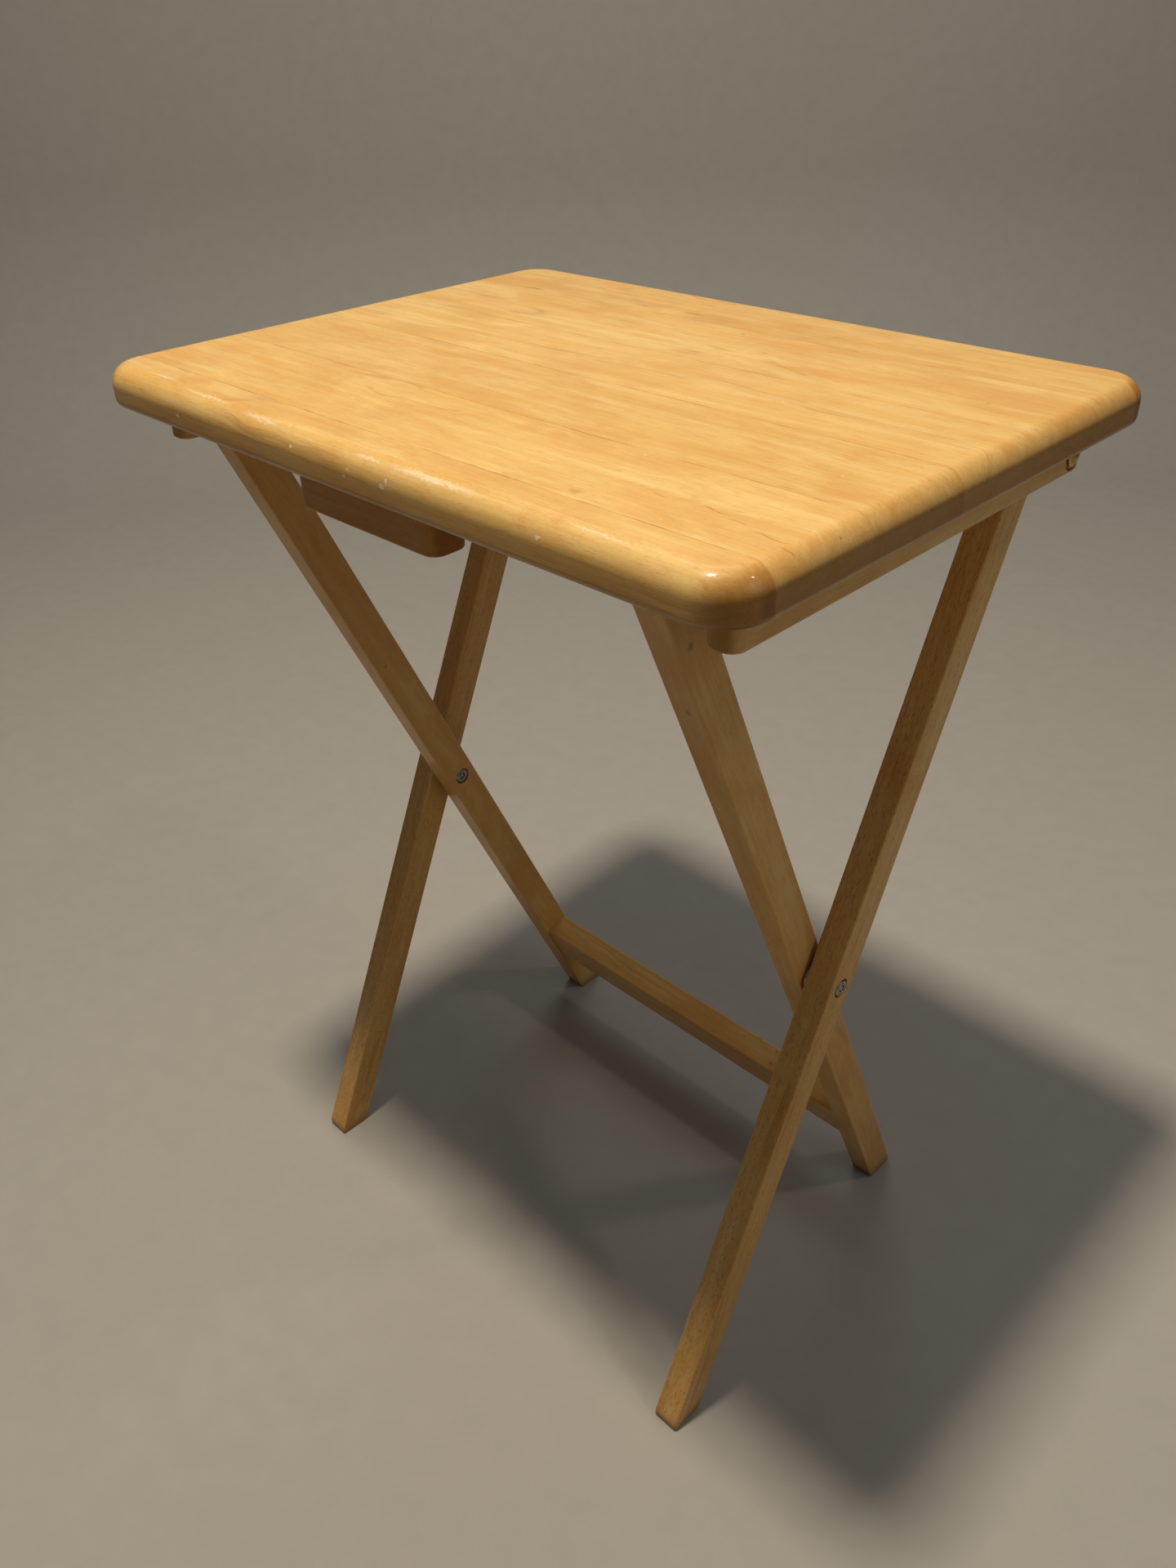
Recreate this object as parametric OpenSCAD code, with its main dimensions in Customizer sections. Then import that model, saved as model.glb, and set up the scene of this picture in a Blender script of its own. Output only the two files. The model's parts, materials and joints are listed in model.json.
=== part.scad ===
// Folding side table with a solid wood top on two crossed leg frames.
// Origin: on the floor under the centre of the top. X along the top, Y across it, Z up.
// The outer frame leans back (+Y) as it rises, the inner frame leans forward (-Y).

/* [Tabletop] */
// Length of the top along X
top_l = 486; // [470:1:520]
// Width of the top along Y
top_w = 367; // [360:1:390]
// Thickness of the boards
top_t = 24; // [22:1:28]
// Plan radius of the corners
corner_r = 26; // [20:1:36]
// Radius of the round-over on the upper edge
upper_round = 12; // [8:1:14]
// Radius of the easing on the lower edge
lower_round = 5; // [2:1:6]

/* [Frames] */
// Height of the tabletop's upper face
table_h = 660; // [640:1:700]
// Lean of each leg from upright, in degrees
lean = 24; // [22:0.5:25]
// Height of the pivot where the legs cross
pivot_z = 313; // [300:1:320]
// Offset of the crossing pivot from the centre of the top, along Y
pivot_y = 0; // [-4:0.5:4]
// Thickness of the leg stock, along X
leg_t = 19; // [17:1:22]
// Depth of the leg stock, across the leg
leg_b = 25; // [23:1:25]
// Distance from the middle of the table to an inner leg
inner_x = 160; // [150:1:165]
// Side gap between neighbouring pieces, filled by a spacer
side_gap = 3; // [2.6:0.1:4]
// Length cut off each sharp toe
toe_cut = 4; // [2:0.5:6]

/* [Rails] */
// Diameter of the rail under the top
rail_d = 23; // [18:1:23]
// Height of the lower stretcher, along the legs
stretcher_h = 41; // [30:1:50]
// Thickness of the lower stretcher
stretcher_t = 21; // [16:1:24]
// Distance down the leg from the pivot to the stretcher's upper edge
stretcher_drop = 230; // [200:1:250]

/* [Cleats and block] */
// Width of a cleat along X
cleat_w = 19; // [16:1:22]
// Height of a cleat below the top
cleat_h = 23; // [23:0.5:26]
// Front end of a cleat
cleat_front = -155; // [-165:1:-140]
// Rear end of a cleat
cleat_rear = 150; // [148:1:160]
// Plan radius on the ends of the cleats and the block
end_r = 8; // [3:0.5:9]
// Length of the stop block along X
block_l = 112; // [90:1:140]
// Depth of the stop block along Y
block_d = 24; // [20:0.5:26]
// Height of the stop block below the top
block_h = 21.5; // [18:0.5:26]

/* [Fasteners] */
// Radius of the crossing rivets and the pivot bolts
pin_r = 3; // [2.5:0.1:4]
// Radius of the counterbore round a rivet end
rivet_recess_r = 6.5; // [6.4:0.1:7.5]
// Radius of the counterbore round a bolt head
bolt_recess_r = 8.5; // [8:0.1:9]
// Radius of the screws that hold the cleats and the block
screw_r = 2; // [1.5:0.1:2.5]

/* [Hidden] */
$fn = 96;

// Radial clearance of a turning pin, radial clearance of a glued or driven one,
// and end clearance between pieces that turn past each other
run_fit = 0.05;
snug_fit = 0.05;
end_fit = 0.3;
// Overlap that keeps a cutter clear of the face it opens
eps = 1;

under_z = table_h - top_t;
outer_x = inner_x + leg_t + side_gap;
cleat_x = outer_x + leg_t + side_gap;

// Distances of the top hinge and of the rail's axis below the top's underside
hinge_drop = leg_b / 2 + 1;
rail_drop = leg_b / 2 + 0.5;
hinge_z = under_z - hinge_drop;
rail_z = under_z - rail_drop;
hinge_y = pivot_y + (hinge_z - pivot_z) * tan(lean);
rail_y = pivot_y - (rail_z - pivot_z) * tan(lean);
outer_len = (hinge_z - pivot_z) / cos(lean);
inner_len = (rail_z - pivot_z) / cos(lean);
leg_reach = (pivot_z + leg_b) / cos(lean);
// Y distance from the crossing pivot to the tip of an uncut toe
toe_y = (pivot_z * sin(lean) + leg_b / 2) / cos(lean);

// Widths of the six boards, front to back, as shares of the top's width
board_share = [0.072, 0.183, 0.193, 0.177, 0.199, 0.176];
function share_before(i) = i == 0 ? 0 : board_share[i - 1] + share_before(i - 1);
function board_front(i) = top_w * (share_before(i) - 0.5);

// The rail meets the back of the stop block
block_back = rail_y - rail_d / 2 - end_fit;
block_mid = block_back - block_d / 2;
block_screw_x = block_l * 0.3;
cleat_screw_y = [cleat_front + 30, 10, cleat_rear - 65];
screw_head_r = 2 * screw_r;
screw_head_t = 2.5;
screw_sink = 5;
screw_bite = 15;

rivet_sink = 3;
rivet_head_t = 3.7;
rivet_washer_t = 2;
rivet_flange_r = 5.5;
rivet_roll_r = 3.9;
rivet_roll_t = 0.5;
rivet_groove_r = 2.5;
rivet_tip_r = 1.5;
rivet_groove_depth = 1.4;
bolt_sink = 3;
bolt_head_r = 6.2;
bolt_head_t = 3.2;
bolt_rim_t = 1.2;
bolt_washer_r = 7;
bolt_washer_t = 2;
nut_r = 5.8;
nut_t = 5;
nut_pocket_r = 7;
nut_pocket = 5.5;
spacer_r = 10;
spacer_t = side_gap - end_fit;

tenon_r = 7.5;
tenon_l = 14;
brad_r = 0.9;
brad_head_r = 1.4;
brad_head_t = 0.8;
brad_l = 22;
dowel_r = 4;
dowel_in_leg = 13;
dowel_in_rail = 22;
dowel_step = stretcher_h * 0.42;

// ---- Frames of reference and shared shapes ----

// Left-hand copy of a right-hand piece
module left() {
    mirror([1, 0, 0]) children();
}

// Leg frame: origin at the crossing pivot, +Z up along the leg
module along_outer() {
    translate([0, pivot_y, pivot_z]) rotate([-lean, 0, 0]) children();
}

module along_inner() {
    translate([0, pivot_y, pivot_z]) rotate([lean, 0, 0]) children();
}

// Cylinder along X from x0 to x1
module x_rod(x0, x1, r) {
    translate([x0, 0, 0]) rotate([0, 90, 0]) cylinder(h = x1 - x0, r = r);
}

// Washer along X from x0 to x1 on a turning pin
module x_ring(x0, x1, r) {
    difference() {
        x_rod(x0, x1, r);
        x_rod(x0 - eps, x1 + eps, pin_r + run_fit);
    }
}

// Bar with rounded corners in plan, centred on the origin
module rounded_bar(l, w, h, r) {
    translate([-l / 2 + r, -w / 2, 0]) cube([l - 2 * r, w, h]);
    translate([-l / 2, -w / 2 + r, 0]) cube([l, w - 2 * r, h]);
    for (sx = [-1, 1], sy = [-1, 1])
        translate([sx * (l / 2 - r), sy * (w / 2 - r), 0]) cylinder(h = h, r = r);
}

// ---- Tabletop ----

// Section of the top: rounded over above, eased below
module edge_section(w) {
    hu = w / 2 - upper_round;
    hl = w / 2 - lower_round;
    translate([-hu, 0]) square([2 * hu, top_t]);
    translate([-w / 2, lower_round]) square([w, top_t - upper_round - lower_round]);
    translate([-hl, 0]) square([2 * hl, top_t - upper_round]);
    for (s = [-1, 1]) {
        translate([s * hu, top_t - upper_round]) circle(r = upper_round);
        translate([s * hl, lower_round]) circle(r = lower_round);
    }
}

module corner_puck() {
    rotate_extrude()
        intersection() {
            edge_section(2 * corner_r);
            square([corner_r + eps, top_t]);
        }
}

// The whole top, before it is divided into boards
module top_blank() {
    lx = top_l - 2 * corner_r;
    ly = top_w - 2 * corner_r;
    translate([0, 0, under_z]) {
        translate([-lx / 2, 0, 0]) rotate([90, 0, 90]) linear_extrude(height = lx) edge_section(top_w);
        translate([0, ly / 2, 0]) rotate([90, 0, 0]) linear_extrude(height = ly) edge_section(top_l);
        for (sx = [-1, 1], sy = [-1, 1])
            translate([sx * lx / 2, sy * ly / 2, 0]) corner_puck();
    }
}

// Board number i, counted from the front
module board(i) {
    difference() {
        intersection() {
            top_blank();
            translate([-top_l / 2 - eps, board_front(i), under_z - eps])
                cube([top_l + 2 * eps, top_w * board_share[i], top_t + 2 * eps]);
        }
        at_cleat_screws() cylinder(h = screw_bite, r = screw_r + snug_fit);
        at_block_screws() cylinder(h = screw_bite, r = screw_r + snug_fit);
    }
}

module top_board_1() {
    color("burlywood") board(0);
}

module top_board_2() {
    color("wheat") board(1);
}

module top_board_3() {
    color("burlywood") board(2);
}

module top_board_4() {
    color("wheat") board(3);
}

module top_board_5() {
    color("burlywood") board(4);
}

module top_board_6() {
    color("wheat") board(5);
}

// ---- Pieces fixed under the top ----

module cleat() {
    len = cleat_rear - cleat_front;
    mid = (cleat_rear + cleat_front) / 2;
    difference() {
        translate([cleat_x + cleat_w / 2, mid, under_z - cleat_h])
            rounded_bar(cleat_w, len, cleat_h, end_r);
        translate([0, hinge_y, hinge_z]) {
            x_rod(cleat_x - eps, cleat_x + cleat_w + eps, pin_r + run_fit);
            x_rod(cleat_x + cleat_w - bolt_sink, cleat_x + cleat_w + eps, bolt_recess_r);
        }
        at_cleat_screws() screw_cutter(cleat_h);
    }
}

module cleat_right() {
    color("peru") cleat();
}

module cleat_left() {
    color("peru") left() cleat();
}

module stop_block() {
    color("peru")
        difference() {
            translate([0, block_mid, under_z - block_h])
                rounded_bar(block_l, block_d, block_h, end_r);
            at_block_screws() screw_cutter(block_h);
        }
}

// Screw places, at the level of the underside
module at_cleat_screws() {
    for (s = [-1, 1], y = cleat_screw_y)
        translate([s * (cleat_x + cleat_w / 2), y, under_z]) children();
}

module at_block_screws() {
    for (s = [-1, 1])
        translate([s * block_screw_x, block_mid, under_z]) children();
}

// Bore and head recess for a screw through a bar of depth d
module screw_cutter(d) {
    translate([0, 0, -d - eps]) cylinder(h = d + 2 * eps, r = screw_r + snug_fit);
    translate([0, 0, -d - eps]) cylinder(h = screw_sink + eps, r = screw_head_r);
}

// Screw through a bar of depth d, its head on the floor of the recess
module screw(d) {
    translate([0, 0, -d + screw_sink]) cylinder(h = d - screw_sink + screw_bite, r = screw_r);
    translate([0, 0, -d + screw_sink - screw_head_t]) cylinder(h = screw_head_t, r = screw_head_r - 0.3);
}

module cleat_screws() {
    color("silver") at_cleat_screws() screw(cleat_h);
}

module block_screws() {
    color("silver") at_block_screws() screw(block_h);
}

// ---- Legs ----

// Plain leg from below the floor to a round end at z = up
module leg_bar(x, up) {
    translate([x, -leg_b / 2, -leg_reach]) cube([leg_t, leg_b, leg_reach + up]);
    translate([0, 0, up]) x_rod(x, x + leg_t, leg_b / 2);
}

// Everything below the floor, and the sharp toe on side s of the crossing
module foot_cut(s) {
    big = 2 * leg_b;
    translate([0, pivot_y + s * toe_y - big, -2 * big]) cube([2 * cleat_x, 2 * big, 2 * big]);
    translate([0, pivot_y + s * (toe_y - toe_cut + big) - big, -eps])
        cube([2 * cleat_x, 2 * big, big]);
}

module rivet_recess(x) {
    x_rod(x - rivet_sink, x + rivet_sink, rivet_recess_r);
}

module outer_leg() {
    difference() {
        along_outer() leg_bar(outer_x, outer_len);
        foot_cut(-1);
        along_outer() {
            x_rod(outer_x - eps, outer_x + leg_t + eps, pin_r + run_fit);
            rivet_recess(outer_x + leg_t);
            translate([0, 0, outer_len]) {
                x_rod(outer_x - eps, outer_x + leg_t + eps, pin_r + run_fit);
                x_rod(outer_x - eps, outer_x + nut_pocket, nut_pocket_r);
            }
        }
    }
}

module inner_leg() {
    difference() {
        along_inner() leg_bar(inner_x, inner_len);
        foot_cut(1);
        along_inner() {
            x_rod(inner_x - eps, inner_x + leg_t + eps, pin_r + run_fit);
            rivet_recess(inner_x);
            translate([0, 0, inner_len]) {
                x_rod(inner_x - eps, inner_x + tenon_l, tenon_r + snug_fit);
                translate([inner_x + tenon_l / 2, 0, 0]) brad_shape(snug_fit);
            }
            at_dowels() x_rod(inner_x - eps, inner_x + dowel_in_leg, dowel_r + snug_fit);
        }
    }
}

module outer_leg_right() {
    color("tan") outer_leg();
}

module outer_leg_left() {
    color("tan") left() outer_leg();
}

module inner_leg_right() {
    color("tan") inner_leg();
}

module inner_leg_left() {
    color("tan") left() inner_leg();
}

// ---- Rails of the inner frame ----

// Brad driven through the leg's front face into the rail's tenon, grown by gap all round
module brad_shape(gap) {
    translate([0, -leg_b / 2, 0]) rotate([-90, 0, 0]) {
        cylinder(h = brad_l, r = brad_r + gap);
        cylinder(h = brad_head_t, r = brad_head_r + gap);
    }
}

module both_brads(gap) {
    along_inner()
        for (s = [-1, 1])
            translate([s * (inner_x + tenon_l / 2), 0, inner_len]) brad_shape(gap);
}

module top_rail() {
    color("tan")
        difference() {
            translate([0, rail_y, rail_z]) {
                x_rod(-inner_x, inner_x, rail_d / 2);
                x_rod(-inner_x - tenon_l, inner_x + tenon_l, tenon_r);
            }
            both_brads(snug_fit);
        }
}

module rail_brads() {
    color("dimgray") both_brads(0);
}

// Dowel places, in the leg frame
module at_dowels() {
    for (s = [-1, 1])
        translate([0, 0, -stretcher_drop - stretcher_h / 2 + s * dowel_step / 2]) children();
}

module all_dowels(gap) {
    along_inner() at_dowels() {
        x_rod(inner_x - dowel_in_rail, inner_x + dowel_in_leg, dowel_r + gap);
        x_rod(-inner_x - dowel_in_leg, -inner_x + dowel_in_rail, dowel_r + gap);
    }
}

module lower_stretcher() {
    color("tan")
        difference() {
            along_inner()
                translate([-inner_x, -stretcher_t / 2, -stretcher_drop - stretcher_h])
                    cube([2 * inner_x, stretcher_t, stretcher_h]);
            all_dowels(snug_fit);
        }
}

module stretcher_dowels() {
    color("wheat") all_dowels(0);
}

// ---- Crossing rivets ----

// Groove round the tip that shows in each end of a rivet
module rivet_groove(x0, x1) {
    difference() {
        x_rod(x0, x1, rivet_groove_r);
        x_rod(x0 - eps, x1 + eps, rivet_tip_r);
    }
}

// Compression rivet: flat head outside, rolled end inside
module crossing_rivet() {
    floor_out = outer_x + leg_t - rivet_sink;
    head = floor_out + rivet_head_t;
    roll = inner_x + rivet_sink - end_fit - rivet_washer_t;
    tail = roll - rivet_roll_t;
    translate([0, pivot_y, pivot_z])
        difference() {
            union() {
                x_rod(tail, head, pin_r);
                x_rod(floor_out, head, rivet_flange_r);
                x_rod(tail, roll, rivet_roll_r);
            }
            rivet_groove(head - rivet_groove_depth, head + eps);
            rivet_groove(tail - eps, tail + rivet_groove_depth);
        }
}

// Washer under the rolled end, on the floor of the inner leg's counterbore
module rivet_washer() {
    x1 = inner_x + rivet_sink - end_fit;
    translate([0, pivot_y, pivot_z]) x_ring(x1 - rivet_washer_t, x1, rivet_flange_r);
}

// Washer between the two legs, against the outer leg
module leg_spacer() {
    translate([0, pivot_y, pivot_z]) x_ring(outer_x - spacer_t, outer_x, spacer_r);
}

module crossing_rivet_right() {
    color("gray") crossing_rivet();
}

module crossing_rivet_left() {
    color("gray") left() crossing_rivet();
}

module rivet_washer_right() {
    color("silver") rivet_washer();
}

module rivet_washer_left() {
    color("silver") left() rivet_washer();
}

module leg_spacer_right() {
    color("lightgray") leg_spacer();
}

module leg_spacer_left() {
    color("lightgray") left() leg_spacer();
}

// ---- Pivot bolts of the top ----

// Section of the bolt's head: a straight rim with a dome on it
module bolt_head_section() {
    dome_h = bolt_head_t - bolt_rim_t;
    dome_base = bolt_head_r - 0.3;
    dome_r = (dome_base * dome_base + dome_h * dome_h) / (2 * dome_h);
    square([bolt_head_r, bolt_rim_t]);
    intersection() {
        translate([0, bolt_head_t - dome_r]) circle(r = dome_r);
        square([bolt_head_r, bolt_head_t + eps]);
    }
}

module pivot_bolt() {
    seat = cleat_x + cleat_w - bolt_sink + end_fit + bolt_washer_t;
    translate([0, hinge_y, hinge_z]) {
        x_rod(outer_x + end_fit, seat + end_fit, pin_r);
        translate([seat, 0, 0]) rotate([0, 90, 0]) rotate_extrude() bolt_head_section();
    }
}

module bolt_washer() {
    x0 = cleat_x + cleat_w - bolt_sink + end_fit;
    translate([0, hinge_y, hinge_z]) x_ring(x0, x0 + bolt_washer_t, bolt_washer_r);
}

// Washer between the outer leg and the cleat, against the leg
module cleat_spacer() {
    x0 = outer_x + leg_t;
    translate([0, hinge_y, hinge_z]) x_ring(x0, x0 + spacer_t, spacer_r);
}

// Hexagonal nut sunk in the outer leg's inner face
module pivot_nut() {
    along_outer()
        translate([0, 0, outer_len])
            difference() {
                translate([outer_x + nut_pocket - nut_t, 0, 0])
                    rotate([0, 90, 0]) cylinder(h = nut_t, r = nut_r, $fn = 6);
                x_rod(outer_x - eps, outer_x + nut_pocket + eps, pin_r + run_fit);
            }
}

module pivot_bolt_right() {
    color("goldenrod") pivot_bolt();
}

module pivot_bolt_left() {
    color("goldenrod") left() pivot_bolt();
}

module bolt_washer_right() {
    color("darkkhaki") bolt_washer();
}

module bolt_washer_left() {
    color("darkkhaki") left() bolt_washer();
}

module cleat_spacer_right() {
    color("lightgray") cleat_spacer();
}

module cleat_spacer_left() {
    color("lightgray") left() cleat_spacer();
}

module pivot_nut_right() {
    color("silver") pivot_nut();
}

module pivot_nut_left() {
    color("silver") left() pivot_nut();
}

top_board_1();
top_board_2();
top_board_3();
top_board_4();
top_board_5();
top_board_6();
cleat_left();
cleat_right();
stop_block();
cleat_screws();
block_screws();
outer_leg_left();
outer_leg_right();
inner_leg_left();
inner_leg_right();
top_rail();
rail_brads();
lower_stretcher();
stretcher_dowels();
crossing_rivet_left();
crossing_rivet_right();
rivet_washer_left();
rivet_washer_right();
leg_spacer_left();
leg_spacer_right();
pivot_bolt_left();
pivot_bolt_right();
bolt_washer_left();
bolt_washer_right();
cleat_spacer_left();
cleat_spacer_right();
pivot_nut_left();
pivot_nut_right();
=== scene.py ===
import json
import math

import bmesh
import bpy
from mathutils import Matrix, Vector


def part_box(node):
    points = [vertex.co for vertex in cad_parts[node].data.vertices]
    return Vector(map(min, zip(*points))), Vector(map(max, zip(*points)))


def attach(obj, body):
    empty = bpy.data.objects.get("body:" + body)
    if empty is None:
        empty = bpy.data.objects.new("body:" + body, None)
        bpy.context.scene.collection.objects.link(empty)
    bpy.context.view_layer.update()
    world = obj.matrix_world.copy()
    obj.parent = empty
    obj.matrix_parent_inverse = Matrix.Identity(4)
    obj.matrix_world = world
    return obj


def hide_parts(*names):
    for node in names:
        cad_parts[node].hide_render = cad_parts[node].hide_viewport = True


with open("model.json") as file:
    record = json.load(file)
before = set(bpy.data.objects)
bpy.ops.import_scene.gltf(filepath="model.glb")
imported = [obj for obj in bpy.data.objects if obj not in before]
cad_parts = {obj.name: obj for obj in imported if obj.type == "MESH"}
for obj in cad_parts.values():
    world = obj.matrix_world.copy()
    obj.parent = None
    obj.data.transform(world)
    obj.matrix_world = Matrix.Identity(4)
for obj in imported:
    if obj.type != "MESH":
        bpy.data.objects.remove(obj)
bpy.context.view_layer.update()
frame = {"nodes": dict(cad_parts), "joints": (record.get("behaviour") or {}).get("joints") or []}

# A folding side table. Lengths are in metres in the CAD frame: X along the top, Y across it, Z up.
# Every piece is built again with eased edges and turned details, and stands for its CAD node.

MM = 0.001
SIDES = {"left": -1, "right": 1}

# ---------------------------------------------------------------- sizes read from the frame

joints = {j["name"]: j for j in frame["joints"]}
PIVOT = Vector(joints["leg_fold"]["pos_m"])
HINGE = Vector(joints["top_lift"]["pos_m"])
LEAN = math.atan2(HINGE.y - PIVOT.y, HINGE.z - PIVOT.z)

BOARDS = sorted(n for n in frame["nodes"] if n.startswith("top_board_"))
board_boxes = {n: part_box(n) for n in BOARDS}
TOP_LOW = Vector(map(min, *(b[0] for b in board_boxes.values())))
TOP_HIGH = Vector(map(max, *(b[1] for b in board_boxes.values())))

rail_low, rail_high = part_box("top_rail")
RAIL = (rail_low + rail_high) / 2
RAIL_R = (rail_high.z - rail_low.z) / 2

LEG_B = 2 * (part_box("outer_leg_right")[1].z - HINGE.z)

# Shapes that the frame's boxes don't give
CORNER_R = 26 * MM
UPPER_ROUND = 12 * MM
LOWER_ROUND = 5 * MM
BAR_END_R = 8 * MM
EASE = 1.3 * MM
GLUED_EASE = 0.2 * MM
STRETCHER_T = 21 * MM
STRETCHER_H = 41 * MM
STRETCHER_EDGE_R = 1.8 * MM
STRETCHER_EASE = 0.15 * MM


# ---------------------------------------------------------------- mesh helpers

def piece(name, bm, body, slot, material, *nodes):
    """A finished piece: it rides on a CAD body and stands for its CAD nodes."""
    bmesh.ops.recalc_face_normals(bm, faces=bm.faces)
    mesh = bpy.data.meshes.new(name)
    bm.to_mesh(mesh)
    bm.free()
    obj = bpy.data.objects.new(name, mesh)
    bpy.context.scene.collection.objects.link(obj)
    mesh.materials.append(material)
    mesh.shade_smooth()
    mesh.set_sharp_from_angle(angle=math.radians(38))
    normals = obj.modifiers.new("flat_faces", "WEIGHTED_NORMAL")
    normals.keep_sharp = True
    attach(obj, body)
    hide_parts(*nodes)
    return obj


def skin(bm, rings, cap_first=True, cap_last=True):
    """Joins closed rings of points with quads, and closes the first and last ring."""
    loops = [[bm.verts.new(p) for p in ring] for ring in rings]
    for a, b in zip(loops, loops[1:]):
        for i in range(len(a)):
            j = (i + 1) % len(a)
            bm.faces.new((a[i], a[j], b[j], b[i]))
    if cap_first:
        bm.faces.new(loops[0][::-1])
    if cap_last:
        bm.faces.new(loops[-1])
    return loops


def arc(centre, radius, start, end, steps):
    """Points on a circle from one angle to another, in degrees."""
    angles = [math.radians(start + (end - start) * i / steps) for i in range(steps + 1)]
    return [(centre[0] + radius * math.cos(a), centre[1] + radius * math.sin(a)) for a in angles]


def rounded(points, radii, steps=5):
    """A closed convex outline whose corners have the given radii."""
    out = []
    for i, corner in enumerate(points):
        p = Vector(corner)
        to_last = (Vector(points[i - 1]) - p).normalized()
        to_next = (Vector(points[(i + 1) % len(points)]) - p).normalized()
        half = to_last.angle(to_next) / 2
        if radii[i] <= 0:
            out.append(tuple(p))
            continue
        reach = radii[i] / math.tan(half)
        centre = p + (to_last + to_next).normalized() * (radii[i] / math.sin(half))
        first, last = p + to_last * reach - centre, p + to_next * reach - centre
        turn = first.angle_signed(last)
        for k in range(steps + 1):
            c, s = math.cos(-turn * k / steps), math.sin(-turn * k / steps)
            out.append((centre.x + first.x * c - first.y * s, centre.y + first.x * s + first.y * c))
    return out


def inset(outline, distance):
    """A convex counter-clockwise outline moved inwards."""
    out, count = [], len(outline)
    for i in range(count):
        p = Vector(outline[i])
        before = (p - Vector(outline[i - 1])).normalized()
        after = (Vector(outline[(i + 1) % count]) - p).normalized()
        n1, n2 = Vector((-before.y, before.x)), Vector((-after.y, after.x))
        out.append(tuple(p + (n1 + n2) * (distance / (1 + n1.dot(n2)))))
    return out


def counter_clockwise(outline):
    area = sum(a[0] * b[1] - b[0] * a[1] for a, b in zip(outline, outline[1:] + outline[:1]))
    return outline if area > 0 else outline[::-1]


def upright(u, v, w):
    """A prism's point whose outline lies in X and Y."""
    return (u, v, w)


def sideways(u, v, w):
    """A prism's point whose outline lies in Y and Z."""
    return (w, u, v)


def eased_prism(outline, low, high, place, ease_low=EASE, ease_high=EASE, steps=4):
    """A bar with that outline from low to high, its end edges eased. place(u, v, w) gives a point."""
    outline = counter_clockwise(outline)
    levels = []
    for k in range(steps + 1):
        a = math.pi / 2 * k / steps
        levels.append((ease_low * (1 - math.sin(a)), low + ease_low * (1 - math.cos(a))))
    for k in range(steps + 1):
        a = math.pi / 2 * k / steps
        levels.append((ease_high * (1 - math.cos(a)), high - ease_high * (1 - math.sin(a))))
    bm = bmesh.new()
    skin(bm, [[place(u, v, w) for u, v in inset(outline, d)] for d, w in levels])
    bmesh.ops.remove_doubles(bm, verts=bm.verts, dist=1e-7)
    return bm


def turned(profile, matrix=None, segments=48, bm=None):
    """A solid turned round Z from (radius, height) points, closed at both ends."""
    bm = bm or bmesh.new()
    matrix = matrix or Matrix.Identity(4)
    rings = []
    for r, h in profile:
        angles = [2 * math.pi * i / segments for i in range(segments)]
        rings.append([matrix @ Vector((r * math.cos(a), r * math.sin(a), h)) for a in angles])
    skin(bm, rings)
    return bm


def swept(section_at, matrix, segments=48):
    """A ring round Z. section_at gives its closed section of (radius, height) at an angle."""
    bm = bmesh.new()
    rings = []
    for i in range(segments + 1):
        a = 2 * math.pi * (i % segments) / segments
        rings.append([matrix @ Vector((r * math.cos(a), r * math.sin(a), h)) for r, h in section_at(a)])
    skin(bm, rings, cap_first=False, cap_last=False)
    bmesh.ops.remove_doubles(bm, verts=bm.verts, dist=1e-7)
    return bm


def washer(inner, outer, low, high, matrix, chamfer=0.2 * MM):
    """A flat ring round Z with its edges broken."""
    section = [
        (inner + chamfer, low), (outer - chamfer, low), (outer, low + chamfer),
        (outer, high - chamfer), (outer - chamfer, high), (inner + chamfer, high),
        (inner, high - chamfer), (inner, low + chamfer),
    ]
    return swept(lambda angle: section, matrix)


def grooved(profile, matrix, depth_at, segments, bm=None):
    """A solid turned round Z whose surface is lowered by depth_at(angle, height)."""
    bm = bm or bmesh.new()
    rings = []
    for r, h in profile:
        ring = []
        for i in range(segments):
            a = 2 * math.pi * i / segments
            cut_r = max(r - depth_at(a, h), 0.1 * MM)
            ring.append(matrix @ Vector((cut_r * math.cos(a), cut_r * math.sin(a), h)))
        rings.append(ring)
    skin(bm, rings)
    return bm


def cut(bm, cutters):
    """The solid bm with each cutter solid taken away."""
    def as_object(name, source):
        mesh = bpy.data.meshes.new(name)
        bmesh.ops.recalc_face_normals(source, faces=source.faces)
        source.to_mesh(mesh)
        source.free()
        obj = bpy.data.objects.new(name, mesh)
        bpy.context.scene.collection.objects.link(obj)
        return obj

    body = as_object("cut_body", bm)
    tools = [as_object("cut_tool", c) for c in cutters]
    for tool in tools:
        modifier = body.modifiers.new("cut", "BOOLEAN")
        modifier.operation = "DIFFERENCE"
        modifier.solver = "EXACT"
        modifier.object = tool
    shaped = body.evaluated_get(bpy.context.evaluated_depsgraph_get())
    out = bmesh.new()
    out.from_mesh(shaped.to_mesh())
    shaped.to_mesh_clear()
    for obj in [body, *tools]:
        mesh = obj.data
        bpy.data.objects.remove(obj)
        bpy.data.meshes.remove(mesh)
    return out


def outwards(side, x, y, z):
    """A frame at x on one side of the table, whose Z axis points away from the middle."""
    return Matrix.Translation((side * x, y, z)) @ Matrix.Rotation(side * math.pi / 2, 4, "Y")


def inwards(side, x, y, z):
    """A frame at x on one side of the table, whose Z axis points to the middle."""
    return outwards(side, x, y, z) @ Matrix.Rotation(math.pi, 4, "X")


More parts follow.
